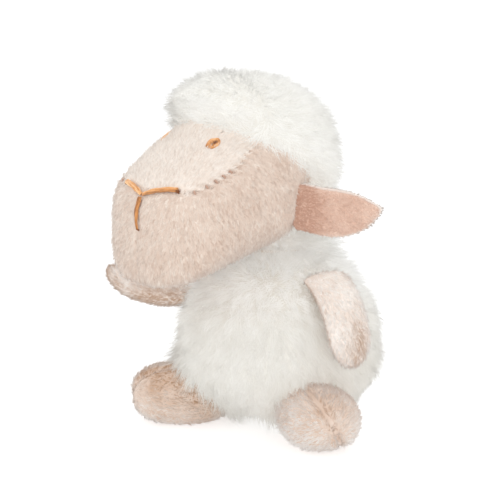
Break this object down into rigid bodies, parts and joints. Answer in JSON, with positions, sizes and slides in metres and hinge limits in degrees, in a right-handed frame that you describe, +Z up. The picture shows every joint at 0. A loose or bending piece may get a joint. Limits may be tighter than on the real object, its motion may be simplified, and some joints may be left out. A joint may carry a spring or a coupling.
{
  "type": "plush sheep",
  "caption": "Small seated plush sheep with a long-pile fleece body and cap, short-pile muzzle, soft ears, short arms and splayed feet.",
  "frame": {"origin": "middle of the flat seat, on the floor", "axes": "+Z up; the trunk faces -Y; the sheep's left side is +X"},
  "size_m": [0.1015, 0.0904, 0.1153],
  "materials": {
    "long_fleece": "long matted pile",
    "face_plush": "short brushed pile",
    "cheek_plush": "short brushed pile",
    "limb_plush": "short brushed pile",
    "ear_velour": "velour",
    "ear_backing": "short pile",
    "embroidery_thread": "satin stitch",
    "sewing_thread": "twisted thread",
    "fibre_filling": "loose fibre",
    "pellet_bag": "woven cloth"
  },
  "bodies": {
    "torso": {"body_stuffing": "fibre_filling", "seat_pellet_bag": "pellet_bag", "body_fleece_seat": "long_fleece", "body_fleece_front": "long_fleece", "body_fleece_back_left": "long_fleece", "body_fleece_back_right": "long_fleece", "back_closing_thread": "sewing_thread", "neck_seam_thread": "sewing_thread"},
    "neck": {"neck_filling": "fibre_filling"},
    "head": {"head_stuffing": "fibre_filling", "face_top_panel": "face_plush", "cheek_left": "cheek_plush", "cheek_right": "cheek_plush", "head_fleece_left": "long_fleece", "head_fleece_right": "long_fleece", "mouth_stitch_left": "embroidery_thread", "mouth_stitch_right": "embroidery_thread", "chin_stitch": "embroidery_thread", "eye_left": "embroidery_thread", "eye_right": "embroidery_thread"},
    "ear_left": {"ear_left_front": "ear_velour", "ear_left_back": "ear_backing"},
    "ear_right": {"ear_right_front": "ear_velour", "ear_right_back": "ear_backing"},
    "arm_left": {"arm_left_outer": "limb_plush", "arm_left_inner": "limb_plush", "arm_left_stuffing": "fibre_filling"},
    "arm_right": {"arm_right_outer": "limb_plush", "arm_right_inner": "limb_plush", "arm_right_stuffing": "fibre_filling"},
    "leg_left": {"leg_left_outer": "limb_plush", "leg_left_inner": "limb_plush", "leg_left_stuffing": "fibre_filling"},
    "leg_right": {"leg_right_outer": "limb_plush", "leg_right_inner": "limb_plush", "leg_right_stuffing": "fibre_filling"}
  },
  "joints": [
    {"name": "head_turn", "type": "hinge", "parent": "torso", "child": "neck", "pos_m": [0, -0.0173, 0.0595], "axis": [0, 0, 1], "range_deg": [-20, 50], "stiffness_Nm_per_rad": 0.3},
    {"name": "head_nod", "type": "hinge", "parent": "neck", "child": "head", "pos_m": [0, -0.0173, 0.0595], "axis": [0.9659, -0.2588, 0], "range_deg": [-20, 7], "stiffness_Nm_per_rad": 0.3},
    {"name": "ear_left_flap", "type": "hinge", "parent": "head", "child": "ear_left", "pos_m": [0.0211, -0.0332, 0.0736], "axis": [0, 0, 1], "range_deg": [-40, 5], "stiffness_Nm_per_rad": 0.004},
    {"name": "ear_right_flap", "type": "hinge", "parent": "head", "child": "ear_right", "pos_m": [-0.02623, -0.02052, 0.0736], "axis": [0, 0, 1], "range_deg": [-5, 40], "stiffness_Nm_per_rad": 0.004},
    {"name": "arm_left_swing", "type": "hinge", "parent": "torso", "child": "arm_left", "pos_m": [0.0223, -0.02168, 0.0515], "axis": [0.2756, 0.9613, 0], "range_deg": [-80, 0], "stiffness_Nm_per_rad": 0.01},
    {"name": "arm_right_swing", "type": "hinge", "parent": "torso", "child": "arm_right", "pos_m": [-0.02777, -0.02002, 0.038], "axis": [-0.225, 0.9744, 0], "range_deg": [-50, 15], "stiffness_Nm_per_rad": 0.01},
    {"name": "leg_left_lift", "type": "hinge", "parent": "torso", "child": "leg_left", "pos_m": [0.02612, -0.02832, 0.0198], "axis": [-0.5299, -0.848, 0], "range_deg": [0, 30], "stiffness_Nm_per_rad": 0.2},
    {"name": "leg_right_lift", "type": "hinge", "parent": "torso", "child": "leg_right", "pos_m": [-0.02612, -0.02832, 0.0198], "axis": [-0.5299, 0.848, 0], "range_deg": [0, 30], "stiffness_Nm_per_rad": 0.2}
  ]
}
